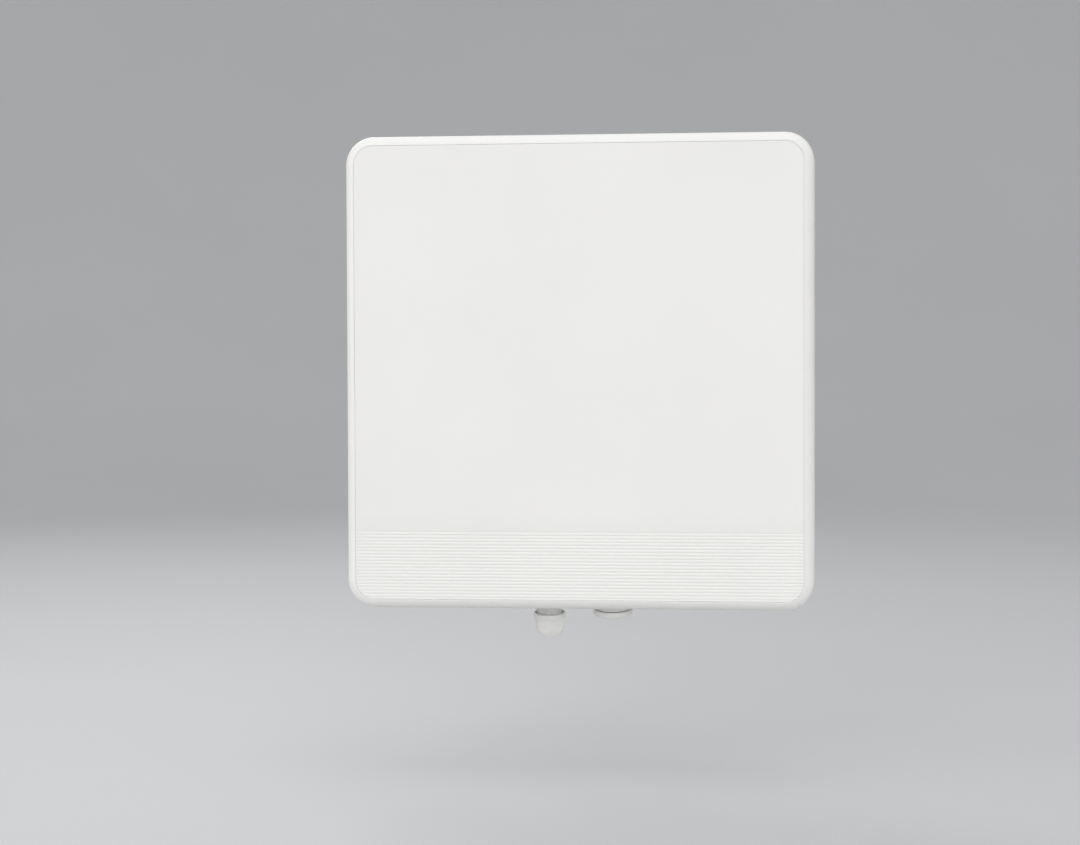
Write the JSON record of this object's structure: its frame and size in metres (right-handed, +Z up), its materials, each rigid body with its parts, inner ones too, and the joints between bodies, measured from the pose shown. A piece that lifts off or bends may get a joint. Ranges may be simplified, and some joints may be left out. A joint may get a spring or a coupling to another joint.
{
  "type": "outdoor wireless bridge",
  "caption": "Square flat-panel outdoor wireless bridge with a built-in antenna, a cable gland and a service cap underneath, and a tilting clamp bracket for a round pole.",
  "frame": {"origin": "on the pole's axis, at the middle of the pole clamp", "axes": "+Z up along the pole, the panel's front face looks along -Y, +X to the right seen from the front"},
  "size_m": [0.3664, 0.23, 0.3976],
  "materials": {
    "cover_white": "satin",
    "housing_white": "satin",
    "fitting_white": "satin",
    "black_rubber": "matte",
    "stainless_steel": "satin",
    "zinc_steel": "satin",
    "cast_aluminium": "satin",
    "black_plastic": "matte",
    "plate_aluminium": "satin",
    "white_laminate": "matte",
    "copper": "satin",
    "foam": "matte",
    "brass": "satin",
    "green_board": "satin",
    "grey_silicone": "matte",
    "tinned_steel": "satin",
    "brown_coax": "satin"
  },
  "bodies": {
    "pole_bracket": {"pole_yoke": "zinc_steel", "front_saddle": "cast_aluminium", "pivot_bolts": "stainless_steel", "pivot_nuts": "stainless_steel", "pivot_washers": "stainless_steel", "lock_bolts": "stainless_steel", "lock_nuts": "stainless_steel", "lock_washers": "stainless_steel", "clamp_bolts": "stainless_steel"},
    "radio_unit": {"radome": "cover_white", "radome_gasket": "black_rubber", "housing_flange": "housing_white", "rear_housing": "housing_white", "cooling_fins": "housing_white", "bracket_pads": "housing_white", "housing_screws": "stainless_steel", "vent_plug": "black_plastic", "earth_stud": "stainless_steel", "earth_nut": "stainless_steel", "gland_gasket": "black_rubber", "gland_body": "fitting_white", "ground_plate": "plate_aluminium", "feed_board": "white_laminate", "driven_patches": "copper", "feed_network": "copper", "foam_spacers": "foam", "parasitic_sheet": "white_laminate", "parasitic_patches": "copper", "antenna_standoffs": "brass", "antenna_screws": "stainless_steel", "radio_board": "green_board", "board_standoffs": "brass", "board_screws": "stainless_steel", "processor": "black_plastic", "thermal_pad": "grey_silicone", "shield_cans": "tinned_steel", "radio_card": "green_board", "ethernet_jack": "tinned_steel", "power_parts": "black_plastic", "reset_switch": "black_plastic", "coax_connectors": "brass", "coax_jumper_left": "brown_coax", "coax_jumper_right": "brown_coax", "tilt_yoke": "zinc_steel", "yoke_bolts": "stainless_steel", "yoke_washers": "stainless_steel"},
    "gland_clamp": {"gland_cage": "fitting_white", "gland_seal": "black_rubber"},
    "gland_nut": {"gland_nut": "fitting_white"},
    "cap_seal": {"cap_o_ring": "black_rubber"},
    "service_cap": {"service_cap": "fitting_white"},
    "reset_button": {"reset_plunger": "black_plastic"},
    "rear_jaw": {"rear_jaw": "cast_aluminium", "jaw_washers": "stainless_steel"},
    "clamp_nut_left": {"clamp_nut_left": "stainless_steel"},
    "clamp_nut_right": {"clamp_nut_right": "stainless_steel"}
  },
  "joints": [
    {"name": "elevation_tilt", "type": "hinge", "parent": "pole_bracket", "child": "radio_unit", "pos_m": [0, -0.062, 0.022], "axis": [1, 0, 0], "range_deg": [-20, 20]},
    {"name": "gland_clamp_slide", "type": "slide", "parent": "radio_unit", "child": "gland_clamp", "axis": [0, 0.1478, -0.989], "range_m": [-0.0037, 0.0028]},
    {"name": "gland_nut_turn", "type": "hinge", "parent": "gland_clamp", "child": "gland_nut", "pos_m": [-0.028, -0.11354, -0.19848], "axis": [0, 0.1478, -0.989], "range_deg": [-864, 648]},
    {"name": "cap_seal_slide", "type": "slide", "parent": "radio_unit", "child": "cap_seal", "axis": [0, 0.1478, -0.989], "range_m": [0, 0.0088]},
    {"name": "service_cap_turn", "type": "hinge", "parent": "cap_seal", "child": "service_cap", "pos_m": [0.023, -0.11502, -0.18859], "axis": [0, 0.1478, -0.989], "range_deg": [0, 2088]},
    {"name": "reset_press", "type": "slide", "parent": "radio_unit", "child": "reset_button", "axis": [0, 0, 1], "range_m": [0, 0.0004], "stiffness_N_per_m": 3200},
    {"name": "rear_jaw_slide", "type": "slide", "parent": "pole_bracket", "child": "rear_jaw", "axis": [0, 1, 0], "range_m": [-0.015, 0.015]},
    {"name": "clamp_nut_right_turn", "type": "hinge", "parent": "rear_jaw", "child": "clamp_nut_right", "pos_m": [0.036, 0.038, 0], "axis": [0, 1, 0], "range_deg": [-4300, 4300]},
    {"name": "clamp_nut_left_turn", "type": "hinge", "parent": "rear_jaw", "child": "clamp_nut_left", "pos_m": [-0.036, 0.038, 0], "axis": [0, 1, 0], "range_deg": [-4300, 4300]}
  ],
  "couplings": [
    {"joint": "gland_clamp_slide", "follows": "gland_nut_turn", "m_per_rad": 0.00023873},
    {"joint": "cap_seal_slide", "follows": "service_cap_turn", "m_per_rad": 0.00023873},
    {"joint": "rear_jaw_slide", "follows": "clamp_nut_right_turn", "m_per_rad": 0.00019894},
    {"joint": "clamp_nut_left_turn", "follows": "clamp_nut_right_turn", "ratio": 1}
  ]
}
